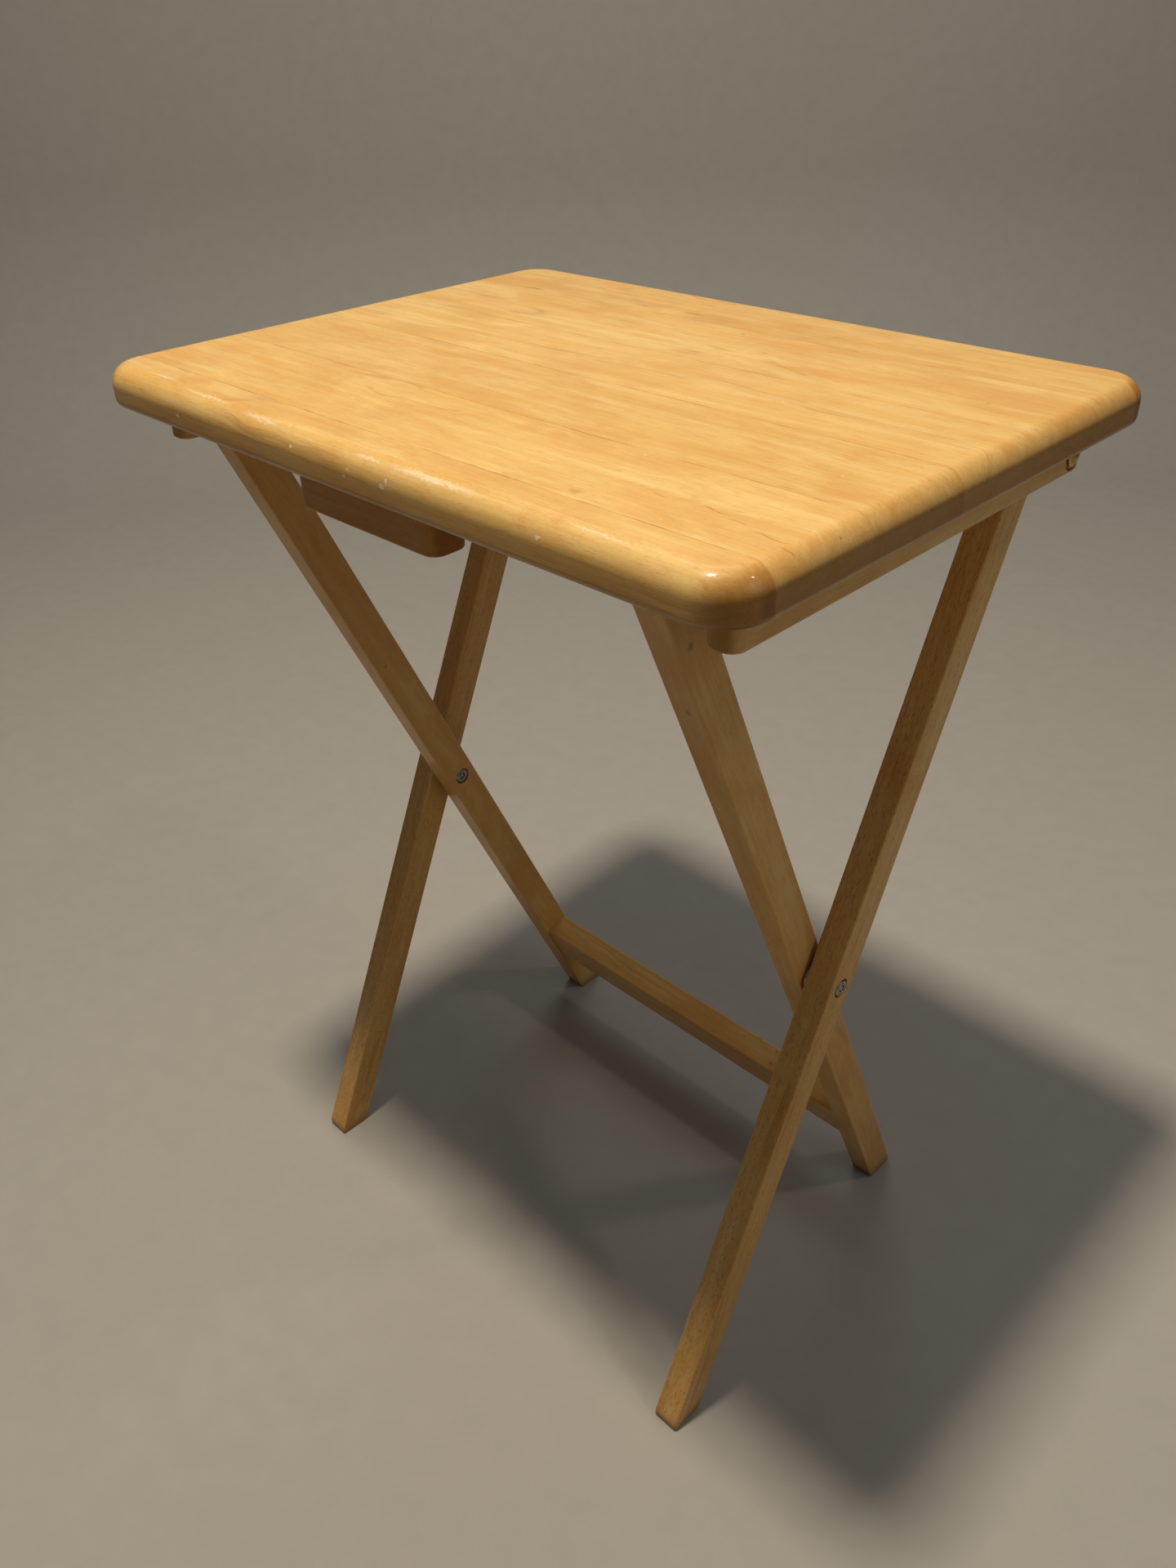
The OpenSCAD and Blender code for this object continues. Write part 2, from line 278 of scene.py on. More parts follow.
def hole(steps, rim=0.25 * MM):
    """Cutter profile from outside inwards. steps are (radius, depth) pairs from the mouth down."""
    mouth = steps[0][0]
    profile = [(mouth + rim * 2, rim), (mouth + rim, 0), (mouth, -rim)]
    for i, (radius, depth) in enumerate(steps):
        profile.append((radius, -depth))
        if i + 1 < len(steps):
            profile.append((steps[i + 1][0], -depth))
    return profile


# ---------------------------------------------------------------- material helpers

class Graph:
    """A material's nodes, with short calls to add and link them."""

    def __init__(self, name):
        self.material = bpy.data.materials.new(name)
        self.material.use_nodes = True
        self.tree = self.material.node_tree
        self.shader = self.tree.nodes["Principled BSDF"]

    def feed(self, socket, value):
        if isinstance(value, bpy.types.NodeSocket):
            self.tree.links.new(value, socket)
        elif value is not None:
            socket.default_value = value

    def node(self, kind, *values, named=None, **settings):
        made = self.tree.nodes.new("ShaderNode" + kind)
        for key, value in settings.items():
            setattr(made, key, value)
        for socket, value in zip(made.inputs, values):
            self.feed(socket, value)
        for key, value in (named or {}).items():
            self.feed(made.inputs[key], value)
        return made

    def math(self, operation, *values):
        return self.node("Math", *values, operation=operation).outputs[0]

    def vector(self, operation, *values):
        return self.node("VectorMath", *values, operation=operation).outputs[0]

    def length(self, value):
        return self.node("VectorMath", value, operation="LENGTH").outputs["Value"]

    def split(self, value):
        return self.node("SeparateXYZ", value).outputs

    def join(self, x, y, z):
        return self.node("CombineXYZ", x, y, z).outputs[0]

    def noise(self, where, stretch, detail=3.0, rough=0.5, distortion=0.0, colour=False):
        """Noise of a point in millimetres, with this many cells a millimetre each way."""
        scaled = self.vector("MULTIPLY", where, stretch)
        named = {"Vector": scaled, "Scale": 1.0, "Detail": detail, "Roughness": rough,
                 "Distortion": distortion}
        return self.node("TexNoise", named=named).outputs["Color" if colour else "Fac"]

    def line_noise(self, w, detail=2.0, rough=0.5):
        named = {"W": w, "Scale": 1.0, "Detail": detail, "Roughness": rough}
        return self.node("TexNoise", named=named, noise_dimensions="1D").outputs["Fac"]

    def ease(self, value, low, high, to_low=0.0, to_high=1.0):
        """value from low..high, smoothly, to to_low..to_high."""
        node = self.node("MapRange", value, low, high, to_low, to_high)
        node.interpolation_type = "SMOOTHSTEP"
        return node.outputs[0]

    def mix(self, factor, a, b, blend="MIX"):
        node = self.tree.nodes.new("ShaderNodeMix")
        node.data_type = "RGBA"
        node.blend_type = blend
        self.feed(node.inputs[0], factor)
        self.feed(node.inputs[6], a)
        self.feed(node.inputs[7], b)
        return node.outputs[2]

    def near(self, where, centre, radius, soft=0.5):
        """1 inside a ball of that radius (a number, or one radius for each axis), 0 outside."""
        radii = radius if isinstance(radius, tuple) else (radius,) * 3
        away = self.length(self.vector("DIVIDE", self.vector("SUBTRACT", where, centre), radii))
        return self.ease(away, 1 - soft, 1, 1, 0)

    def most(self, *values):
        out = values[0]
        for value in values[1:]:
            out = self.math("MAXIMUM", out, value)
        return out


def colour(r, g, b):
    """A linear colour from its 0..255 sRGB values."""
    def linear(v):
        v /= 255
        return v / 12.92 if v <= 0.04045 else ((v + 0.055) / 1.055) ** 2.4
    return (linear(r), linear(g), linear(b), 1)


# Honey lacquer over a pale, fine-pored wood
PALE = colour(235, 203, 134)
HONEY = colour(226, 184, 108)
ORANGE = colour(215, 159, 82)
BROWN = colour(164, 108, 48)
PORE = colour(120, 72, 34)
END_GRAIN = colour(172, 130, 62)
BARE = colour(240, 218, 176)
DARK_MARK = colour(74, 42, 22)
NEAR_FLOOR_DARK = colour(70, 52, 36)
DEEP = colour(188, 138, 44)
# Darker lacquer at the ends, also used for painted shade down the top's edges
AGED_AND_SHADE = colour(180, 142, 46)


def growth_rings(g, point, pith, offset, slope):
    """Growth rings round a leaning pith, warped as a real trunk is, and the thin lines between some."""
    drift = g.vector("SUBTRACT", g.noise(point, (0.005, 0.013, 0.013), 3, colour=True), (0.5,) * 3)
    warped = g.vector("ADD", point, g.vector("MULTIPLY", drift, (0, 34, 34)))
    x, y, z = g.split(warped)
    across = g.math("SUBTRACT", y, pith[0] + offset[1])
    up = g.math("MULTIPLY_ADD", x, slope, g.math("SUBTRACT", z, pith[1] + offset[2]))
    radius = g.length(g.join(0, across, up))
    radius = g.math("MULTIPLY_ADD", g.noise(point, (0.02, 0.25, 0.25), 3), 2.2, radius)
    rings = g.line_noise(g.math("MULTIPLY", radius, 0.17), 3, 0.55)
    line_value = g.line_noise(g.math("MULTIPLY", radius, 0.06), 1)
    line_width = g.math("ABSOLUTE", g.math("SUBTRACT", line_value, 0.5))
    broken = g.ease(g.noise(point, (0.008, 0.05, 0.05), 2), 0.5, 0.62)
    return rings, g.math("MULTIPLY", g.ease(line_width, 0.0, 0.008, 1, 0), broken)


def figure(g, point, rings, lines, fibres, wide, pores, streaks, flecks):
    """The colour of a long face: streaks, yellowed clouds, mottling, fibres, pores, rays and dashes."""
    clouds = g.noise(point, (0.011, 0.024, 0.024), 4, 0.6, 0.8)
    mottle = g.noise(point, (0.07, 0.24, 0.24), 4, 0.65, 0.5)
    rays = g.ease(g.noise(point, (0.35, 0.9, 4.0), 1, 0.5), 0.64, 0.76)
    dashes = g.ease(g.noise(point, (0.045, 0.75, 0.75), 3, 0.6), 0.62, 0.72)
    tint = g.mix(g.ease(wide, 0.32, 0.68), HONEY, PALE)
    tint = g.mix(g.math("MULTIPLY", g.ease(rings, 0.38, 0.66), 0.26 * streaks), tint, ORANGE)
    tint = g.mix(g.ease(clouds, 0.42, 0.68, 0, 0.55), tint, ORANGE)
    tint = g.mix(g.ease(mottle, 0.45, 0.75, 0, 0.4), tint, ORANGE)
    tint = g.mix(g.ease(fibres, 0.42, 0.72, 0, 0.24 * streaks), tint, BROWN)
    tint = g.mix(g.math("MULTIPLY", lines, 0.4 * streaks), tint, BROWN)
    tint = g.mix(g.math("MULTIPLY", pores, flecks), tint, PORE)
    tint = g.mix(g.math("MULTIPLY", rays, 0.22), tint, PALE)
    return g.mix(g.math("MULTIPLY", dashes, 0.3 * streaks), tint, BROWN)


def end_colour(g, rings, pores):
    """End grain drinks more lacquer: darker and browner, with the rings showing."""
    tint = g.mix(g.ease(rings, 0.4, 0.6, 0, 0.35), END_GRAIN, BROWN)
    return g.mix(g.math("MULTIPLY", pores, 0.4), tint, PORE)


def lacquer(g, tint, gloss, relief, coat):
    """Wires the colour, roughness and relief, in millimetres, to a shader with a thin glossy coat."""
    bump = g.node("Bump", named={"Strength": 0.7, "Distance": MM, "Height": relief})
    g.feed(g.shader.inputs["Base Color"], tint)
    g.feed(g.shader.inputs["Roughness"], gloss)
    g.feed(g.shader.inputs["Normal"], bump.outputs[0])
    g.shader.inputs["Specular IOR Level"].default_value = 0.18
    g.shader.inputs["Coat Weight"].default_value = coat
    g.shader.inputs["Coat Roughness"].default_value = 0.07
    g.shader.inputs["Coat IOR"].default_value = 1.5


def wood(name, turn, offset, tone=0.0, pith=(0, -90), slope=0.05, streaks=1.0, flecks=0.3,
         marks=None, finish=0.36, coat=0.12, end_from=0.55, darker_near_floor=False):
    """Lacquered wood whose grain runs along X once the piece is turned by the angles in turn.
    offset picks another place in the tree, in millimetres; tone darkens the piece;
    pith is the tree's centre across the grain, and slope how far it leans over the length;
    end_from is how squarely a face has to look along the grain to show as end grain."""
    g = Graph(name)
    texture = g.node("TexCoord")
    here = g.vector("SCALE", texture.outputs["Object"])
    here.node.inputs["Scale"].default_value = 1 / MM
    point = g.node("Mapping", here, offset, turn).outputs[0]
    normal = g.node("Mapping", texture.outputs["Normal"], (0, 0, 0), turn).outputs[0]

    rings, lines = growth_rings(g, point, pith, offset, slope)
    fibres = g.noise(point, (0.02, 0.9, 0.9), 4, 0.65)
    wide = g.noise(point, (0.0045, 0.1, 0.1), 5, 0.68)
    pores = g.ease(g.noise(point, (0.3, 2.7, 2.7), 2, 0.5), 0.62 - 0.1 * flecks, 0.72)
    tint = figure(g, point, rings, lines, fibres, wide, pores, streaks, flecks)
    end = g.ease(g.math("ABSOLUTE", g.split(normal)[0]), end_from, min(end_from + 0.4, 0.995))
    tint = g.mix(g.math("MULTIPLY", end, 0.7), tint, end_colour(g, rings, pores))
    if tone > 0:
        tint = g.mix(tone, tint, DEEP, "MULTIPLY")
    elif tone < 0:
        tint = g.mix(-tone, tint, PALE)

    # Scuffs, bruises, and darker towards the floor
    dull = g.noise(here, (0.03, 0.03, 0.03), 4, 0.6)
    rub = g.ease(g.noise(here, (0.05, 0.3, 0.3), 5, 0.7), 0.66, 0.8)
    tint = g.mix(g.math("MULTIPLY", rub, 0.16), tint, BARE)
    bare = None
    if marks:
        tint, bare = marks(g, here, tint)
    if darker_near_floor:
        # Darker towards the bottom of the leg, fading out some 22 mm above the floor
        ragged_floor_height = g.math("MULTIPLY_ADD", dull, 16, g.split(here)[2])
        tint = g.mix(g.ease(ragged_floor_height, 6, 22, 0.6, 0), tint, NEAR_FLOOR_DARK)

    relief = g.math("MULTIPLY_ADD", fibres, 0.03, g.math("MULTIPLY", pores, -0.06))
    relief = g.math("MULTIPLY_ADD", g.noise(here, (0.28,) * 3, 2), 0.02, relief)
    relief = g.math("MULTIPLY_ADD", wide, 0.06, relief)
    gloss = g.ease(dull, 0.3, 0.75, finish - 0.05, finish + 0.1)
    gloss = g.math("ADD", gloss, g.math("MULTIPLY", end, 0.08))
    if bare is not None:
        relief = g.math("MULTIPLY_ADD", bare, -0.25, relief)
        gloss = g.math("MULTIPLY_ADD", bare, 0.3, gloss)
    lacquer(g, tint, gloss, relief, coat)
    return g.material


def metal(name, bright, dark, rough, tarnish=0.5):
    """Plated metal with cloudy tarnish and fine turning marks."""
    g = Graph(name)
    texture = g.node("TexCoord")
    here = g.vector("SCALE", texture.outputs["Object"])
    here.node.inputs["Scale"].default_value = 1 / MM
    cloud = g.noise(here, (0.35,) * 3, 4, 0.65)
    specks = g.ease(g.noise(here, (2.2,) * 3, 2, 0.6), 0.58, 0.72)
    marks = g.noise(here, (5.0, 0.6, 0.6), 3, 0.6)
    stain = g.math("MULTIPLY_ADD", specks, 0.35, g.ease(cloud, 0.35, 0.7, 0, tarnish))
    g.feed(g.shader.inputs["Base Color"], g.mix(stain, bright, dark))
    g.shader.inputs["Metallic"].default_value = 1.0
    g.feed(g.shader.inputs["Roughness"], g.ease(cloud, 0.3, 0.7, rough - 0.08, rough + 0.14))
    relief = g.math("MULTIPLY_ADD", specks, -0.02, g.math("MULTIPLY", marks, 0.015))
    bump = g.node("Bump", named={"Strength": 0.6, "Distance": MM, "Height": relief})
    g.feed(g.shader.inputs["Normal"], bump.outputs[0])
    return g.material


ZINC = metal("zinc_plate", colour(176, 174, 166), colour(92, 88, 80), 0.36)
BRASS = metal("brass_plate", colour(214, 178, 104), colour(122, 92, 46), 0.28)
DARK_STEEL = metal("dark_steel", colour(96, 90, 82), colour(48, 42, 36), 0.5)


# ---------------------------------------------------------------- tabletop

# Places on the top are in millimetres. Its straight edges run as far as STRAIGHT_Y each way.
TOP_Z = TOP_HIGH.z / MM
STRAIGHT_Y = (TOP_HIGH.y - CORNER_R) / MM

# Scuffs along the front edge, where the lacquer has gone pale: centre and radii
PALE_RUBS = [
    ((-128, -175.5, 658), (32, 1.8, 3)), ((-72, -177.5, 658), (22, 2.4, 3)),
    ((66, -178, 658), (44, 2.6, 4)), ((-178, -172, 659), (20, 1.4, 3)),
    ((20, -178, 657), (16, 1.5, 3)), ((170, -176, 658), (30, 1.2, 3)),
]
# Chips in the front face: centre and radii
CHIPS = [
    ((34, -182.5, 649), (2.4, 2.5, 2.0)), ((37, -182.8, 651.5), (1.2, 2.5, 2.2)),
    ((139, -182.8, 652), (1.6, 2.5, 1.1)), ((-40, -182.6, 652), (1.2, 2.5, 0.9)),
    ((8, -183, 651), (1.6, 2.5, 0.6)), ((4, -183, 647), (1.1, 2.5, 0.8)),
    ((-150, -183, 646), (1.4, 2.5, 1.0)),
]
# Pale flecks on the top: X and Y
FLECKS = [
    (-12, 168), (60, 142), (71, 141), (118, 14), (-100, -60), (120, -95), (205, -60),
    (-60, -128), (40, -40), (-160, 20), (150, 60), (92, -128), (178, -150),
]
# Small knots and dark checks: centre, radii and how dark
KNOTS = [
    ((199.6, 76.2, TOP_Z), (1.3, 0.8, 2), 0.9),
    ((240, -111, 657), (1.2, 0.9, 2), 0.9), ((-179, 121.5, TOP_Z), (13, 0.9, 3), 0.8),
    ((-83, 129, TOP_Z), (8, 0.8, 3), 0.6), ((-42, 132, TOP_Z), (12, 0.9, 3), 0.75),
    ((16, 110, TOP_Z), (3, 0.8, 3), 0.8), ((-30, 30, TOP_Z), (1.0, 0.8, 2), 0.6),
]

# A brown line that wanders through the figure by the near corner
WAVES = [
    ((190, -128.5, TOP_Z), (12, 0.9, 3)), ((207, -132.5, TOP_Z), (11, 0.7, 3)),
    ((224, -137.0, TOP_Z), (12, 0.9, 3)), ((236, -141.0, 659), (7, 0.7, 3)),
]

STAIN = (129, -150, TOP_Z)


def seam_marks(low, high):
    """Marks for one board: darker glue lines at its edges, then the wear and the painted edge shade that
    cross the boards.
    """
    def marks(g, here, tint):
        across = g.split(here)[1]
        gone = g.noise(here, (0.02, 0.0, 0.0), 3, 0.7)
        depth = g.ease(gone, 0.42, 0.6, 0.08, 0.6)
        for y in (low, high):
            if abs(y) > TOP_HIGH.y - MM:
                continue
            away = g.math("ABSOLUTE", g.math("SUBTRACT", across, y / MM))
            tint = g.mix(g.math("MULTIPLY", g.ease(away, 0.1, 0.8, 1, 0), depth), tint, BROWN)
        return top_marks(g, here, tint)
    return marks


def wander(g, here, cells, reach, detail=3, rough=0.7):
    """The point moved about at random: cells a millimetre, and reach in millimetres each way."""
    drift = g.vector("SUBTRACT", g.noise(here, (cells,) * 3, detail, rough, colour=True), (0.5,) * 3)
    return g.vector("ADD", here, g.vector("MULTIPLY", drift, reach))


def edge_shade_and_age(g, here, tint):
    """Painted shade on the top's edges: darker towards the bottom of the edges and along the lower edge;
    darker at the ends and round the corners, partly lacquer soaked into end grain and partly painted shade.
    """
    height = g.math("MULTIPLY_ADD", g.noise(here, (0.05, 0.5, 0.5), 4, 0.7), 4, g.split(here)[2])
    # Painted shade: the top's edges darker towards the bottom, as where light falls from above
    tint = g.mix(g.ease(height, TOP_Z - 19, TOP_Z + 1, 0.4, 0.0), tint, AGED_AND_SHADE, "MULTIPLY")
    normal = g.split(g.node("TexCoord").outputs["Normal"])
    facing = g.math("ABSOLUTE", normal[0])
    level = g.math("ABSOLUTE", normal[2])
    # Painted shade along the lower edge band of the top, where it faces outwards
    low_down = g.ease(height, TOP_Z - 23, TOP_Z - 17, 0.8, 0)
    lower_edge_shade = g.math("MULTIPLY", low_down, g.ease(level, 0.75, 0.98, 1, 0))
    tint = g.mix(lower_edge_shade, tint, BROWN, "MULTIPLY")
    # Darker at the ends and round the corners: partly lacquer soaked into end grain, partly painted shade
    along = g.math("ABSOLUTE", g.split(here)[1])
    corner = g.ease(along, STRAIGHT_Y - 1, STRAIGHT_Y + 0.5, 0.3, 0.7)
    return g.mix(g.math("MULTIPLY", g.ease(facing, 0.1, 0.7), corner), tint, AGED_AND_SHADE, "MULTIPLY")


def top_marks(g, here, tint):
    """Marks that cross the boards: painted shade and aged lacquer on the edges, knots, a wavy line, a stain,
    rubs, flecks and chips.
    """
    tint = edge_shade_and_age(g, here, tint)
    ragged = wander(g, here, 0.45, (6, 4, 5))
    swayed = wander(g, here, 0.09, (8, 9, 0), 2, 0.6)
    grit = g.noise(here, (0.12, 0.9, 0.9), 4, 0.7)
    rubs = g.most(*[g.near(ragged, c, r, 0.8) for c, r in PALE_RUBS])
    rubs = g.math("MULTIPLY", rubs, g.ease(grit, 0.36, 0.5))
    chips = g.most(*[g.near(ragged, c, r, 0.35) for c, r in CHIPS])
    flecks = g.most(*[g.near(here, (x, y, TOP_Z), (1.5, 0.7, 2), 0.6) for x, y in FLECKS])
    waves = g.most(*[g.near(swayed, c, r, 0.9) for c, r in WAVES])
    stain = g.near(ragged, STAIN, (6.0, 4.5, 6), 1.0)
    for centre, radii, depth in KNOTS:
        tint = g.mix(g.math("MULTIPLY", g.near(here, centre, radii, 0.9), depth), tint, DARK_MARK)
    for mask, strength, stain_tint in ((waves, 0.6, BROWN), (stain, 0.5, BROWN), (rubs, 0.95, BARE),
                                       (flecks, 0.5, BARE), (chips, 0.9, BARE)):
        tint = g.mix(g.math("MULTIPLY", mask, strength), tint, stain_tint)
    return tint, g.most(chips, g.math("MULTIPLY", flecks, 0.3))


def top_blank():
    """The whole top: a rounded rectangle, rounded over above and eased below."""
    hx, hy = TOP_HIGH.x, TOP_HIGH.y
    thick = TOP_HIGH.z - TOP_LOW.z
    profile = [(LOWER_ROUND - u, v) for u, v in arc((0, LOWER_ROUND), LOWER_ROUND, -90, 0, 6)]
    upper = arc((0, thick - UPPER_ROUND), UPPER_ROUND, 0, 90, 14)
    profile += [(UPPER_ROUND - u, v) for u, v in upper]
    corners = [(hx, -hy), (hx, hy), (-hx, hy), (-hx, -hy)]
    outline = counter_clockwise(rounded(corners, [CORNER_R] * 4, 20))
    bm = bmesh.new()
    skin(bm, [[(u, v, TOP_LOW.z + h) for u, v in inset(outline, d)] for d, h in profile])
    return bm


CLEAT_SCREW_Y = [-0.125, 0.010, 0.085]
SCREW_R = 2 * MM
SCREW_BITE = 15 * MM
cleat_low, cleat_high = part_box("cleat_right")
block_low, block_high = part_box("stop_block")
CLEAT_X = (cleat_low.x + cleat_high.x) / 2
BLOCK_X = (block_high.x - block_low.x) * 0.3
BLOCK_Y = (block_low.y + block_high.y) / 2
SCREW_PLACES = [(s * CLEAT_X, y) for s in SIDES.values() for y in CLEAT_SCREW_Y]
SCREW_PLACES += [(s * BLOCK_X, BLOCK_Y) for s in SIDES.values()]
LOOSE = 0.05 * MM


def board(node, number, material):
    """One board of the top, with a hair of a bevel at its glue lines and its screw holes."""
    low, high = (c.y for c in board_boxes[node])
    bm = top_blank()
    for y, keep in ((low, 1), (high, -1)):
        if abs(abs(y) - TOP_HIGH.y) < MM:
            continue
        everything = list(bm.verts) + list(bm.edges) + list(bm.faces)
        found = bmesh.ops.bisect_plane(bm, geom=everything, plane_co=(0, y, 0),
                                       plane_no=(0, -keep, 0), clear_outer=True)
        rim = [e for e in found["geom_cut"] if isinstance(e, bmesh.types.BMEdge)]
        face = bmesh.ops.contextual_create(bm, geom=rim)["faces"][0]
        bmesh.ops.bevel(bm, geom=list(face.edges), offset=0.12 * MM, segments=1, affect="EDGES")
    bore = [(SCREW_R + LOOSE, -MM), (SCREW_R + LOOSE, SCREW_BITE)]
    holes = [
        turned(bore, Matrix.Translation((x, y, TOP_LOW.z)), 24)
        for x, y in SCREW_PLACES if low < y < high
    ]
    if holes:
        bm = cut(bm, holes)
    return piece(f"board_{number}", bm, "tabletop", "top_wood", material, node)


BOARD_LOOKS = [
    # offset along and across the tree, pith across and below, slope, tone
    ((0, 0, 0), (10, -70), 0.03, 0.05),
    ((610, 40, 20), (25, -110), 0.02, 0.0),
    ((-420, 90, 60), (-6, -34), 0.06, 0.06),
    ((880, 10, 90), (60, -60), 0.02, -0.06),
    ((-950, 70, 30), (-30, -140), 0.04, 0.0),
    ((1330, 20, 50), (15, -80), 0.03, 0.1),
]
for i, node in enumerate(BOARDS):
    offset, pith, slope, tone = BOARD_LOOKS[i]
    low, high = (c.y for c in board_boxes[node])
    middle = (low + high) / 2 / MM
    look = wood(f"board_{i + 1}_wood", (0, 0, 0), offset, tone, (pith[0] + middle, pith[1] + TOP_Z), slope,
                streaks=0.8, flecks=0.25, marks=seam_marks(low, high), coat=0.34, end_from=0.94)
    board(node, i + 1, look)


# ---------------------------------------------------------------- cleats and stop block

QUARTER = math.pi / 2
ALONG_Y = (0, 0, -QUARTER)
SCREW_HEAD_HOLE = 4 * MM
SCREW_SINK = 5 * MM
PIN_R = 3 * MM
BORE_R = PIN_R + LOOSE
BOLT_RECESS_R = 8.5 * MM
BOLT_SINK = 3 * MM


def upright_bar(low, high, holes):
    """A bar under the top: round ends in plan, its lower edge eased."""
    corners = [(low.x, low.y), (high.x, low.y), (high.x, high.y), (low.x, high.y)]
    outline = rounded(corners, [BAR_END_R] * 4, 8)
    bm = eased_prism(outline, low.z, high.z, upright, ease_high=GLUED_EASE)
    return cut(bm, holes)


def screw_hole(x, y, low_z, high_z):
    """A screw's bore up through a bar, with the recess for its head."""
    down = Matrix.Translation((x, y, low_z)) @ Matrix.Rotation(math.pi, 4, "X")
    depth = high_z - low_z + MM
    return turned(hole([(SCREW_HEAD_HOLE, SCREW_SINK), (SCREW_R + LOOSE, depth)]), down, 32)


for side, s in SIDES.items():
    low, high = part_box(f"cleat_{side}")
    width = high.x - low.x
    holes = [screw_hole(s * CLEAT_X, y, low.z, high.z) for y in CLEAT_SCREW_Y]
    mouth = outwards(s, cleat_high.x, HINGE.y, HINGE.z)
    holes.append(turned(hole([(BOLT_RECESS_R, BOLT_SINK), (BORE_R, width + MM)]), mouth))
    bm = upright_bar(low, high, holes)
    look = wood(f"cleat_{side}_wood", ALONG_Y, (300 * s, 40, 200), 0.28, (0, 500), 0.02, streaks=0.6)
    piece(f"cleat_{side}", bm, "tabletop", "leg_wood", look, f"cleat_{side}")

holes = [screw_hole(s * BLOCK_X, BLOCK_Y, block_low.z, block_high.z) for s in SIDES.values()]
look = wood("stop_block_wood", (0, 0, 0), (700, 30, 0), 0.7, (-160, 540), 0.03, streaks=0.7)
bm = upright_bar(block_low, block_high, holes)
piece("stop_block", bm, "tabletop", "leg_wood", look, "stop_block")


# ---------------------------------------------------------------- legs

RIVET_RECESS_R = 6.5 * MM
RIVET_SINK = 3 * MM
NUT_POCKET_R = 7 * MM
NUT_POCKET = 5.5 * MM
TENON_R = 7.55 * MM
TENON_L = 14 * MM
FOOT_EASE = 1.6 * MM


def knots(*places):
    """Small dark knots. Each place is a centre and the radii across it, in millimetres."""
    def marks(g, here, tint):
        ragged = wander(g, here, 0.4, (4, 4, 4))
        spots = g.most(*[g.near(ragged, centre, radii, 1.0) for centre, radii in places])
        return g.mix(g.math("MULTIPLY", spots, 0.65), tint, DARK_MARK), g.math("MULTIPLY", spots, 0.2)
    return marks


LEG_KNOTS = {
    "inner_leg_right": knots(((163.7, -28.3, 345.8), (1.6, 2, 1.6)), ((171.2, -120.4, 552.6), (2.2, 2, 3.2)),
                             ((179, -129.6, 594.3), (2, 2.6, 4.0))),
    "outer_leg_right": knots(((201, -16.4, 273.7), (2, 0.8, 3.5)), ((190, 60, 450), (1.2, 2, 1.5))),
    "inner_leg_left": knots(((-160, -60, 436), (2, 1.2, 2.0))),
    "outer_leg_left": knots(((-190, -80, 120), (1.2, 2, 1.6))),
}
STRETCHER_KNOTS = knots(((61.1, 97, 104.4), (1.5, 1.2, 2)), ((91.8, 99.8, 105.7), (1.8, 1.4, 2)),
                        ((94.1, 89.5, 101.1), (2.2, 1.8, 2)))


def leg_outline(toe, length, reach):
    """Side view of a leg in Y and Z. toe is +1 for a foot towards +Y, and -1 for one towards -Y."""
    a = toe * LEAN
    across = Vector((math.cos(a), math.sin(a))) * toe
    along = Vector((-math.sin(a), math.cos(a)))
    middle = Vector((PIVOT.y, PIVOT.z))

    def floor_point(side):
        """Where the leg's face on that side of its middle line meets the floor."""
        start = middle + across * (side * LEG_B / 2)
        return start - along * (start.y / along.y)

    heel = floor_point(-1)
    tip = floor_point(1)
    toe_line = toe * reach
    cut_low = Vector((toe_line, 0))
    cut_high = tip + along * ((toe_line - tip.x) / along.x)
    top = middle + along * length
    angle = math.degrees(math.atan2(across.y, across.x))
    turn = 180 * toe
    round_end = [
        top + Vector((math.cos(t), math.sin(t))) * LEG_B / 2
        for t in (math.radians(angle + turn * k / 24) for k in range(25))
    ]
    foot = [tuple(p) for p in (heel, cut_low, cut_high)]
    shape = counter_clockwise(foot + [tuple(p) for p in round_end])
    return rounded(shape, [FOOT_EASE if p in foot else 0 for p in shape], 4)


def leg(name, toe, length, holes, body, look):
    """One leg, which stands for the CAD node of its own name."""
    low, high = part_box(name)
    reach = max(abs(low.y), abs(high.y))
    outline = leg_outline(toe, length, reach)
    bm = eased_prism(outline, low.x, high.x, sideways)
    piece(name, cut(bm, holes), body, "leg_wood", look, name)


outer_length = (HINGE - PIVOT).length
inner_length = math.hypot(RAIL.y - PIVOT.y, RAIL.z - PIVOT.z)
# Turns that bring a leg's grain onto X: first upright, then over
OUTER_GRAIN = (LEAN, QUARTER, 0)
INNER_GRAIN = (-LEAN, QUARTER, 0)

INNER_FACE = min(abs(c.x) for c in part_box("inner_leg_right"))
OUTER_FACE, OUTER_BACK = sorted(abs(c.x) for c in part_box("outer_leg_right"))
LEG_T = OUTER_BACK - OUTER_FACE

# Brads go in square to the inner legs' front faces, through the rail's tenons
BRAD_R = 0.9 * MM
BRAD_HEAD_R = 1.4 * MM
BRAD_L = 22 * MM
BRAD_SINK = 0.9 * MM
BRAD_X = INNER_FACE + TENON_L / 2
BRAD_FRONT = RAIL - Vector((0, math.cos(LEAN), math.sin(LEAN))) * LEG_B / 2


def at_brad(side):
    """A frame at a brad's head on the leg's front face, its Z axis pointing out of the wood."""
    place = Matrix.Translation((side * BRAD_X, BRAD_FRONT.y, BRAD_FRONT.z))
    return place @ Matrix.Rotation(QUARTER + LEAN, 4, "X")


# Dowels between the stretcher and the inner legs
stretcher_low, stretcher_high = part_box("lower_stretcher")
STRETCHER = (stretcher_low + stretcher_high) / 2
DOWEL_R = 4 * MM
DOWEL_IN_LEG = 13 * MM
DOWEL_IN_RAIL = 22 * MM
UP_LEG = Vector((0, -math.sin(LEAN), math.cos(LEAN)))
DOWELS = [STRETCHER + UP_LEG * (k * 0.21 * STRETCHER_H) for k in (-1, 1)]

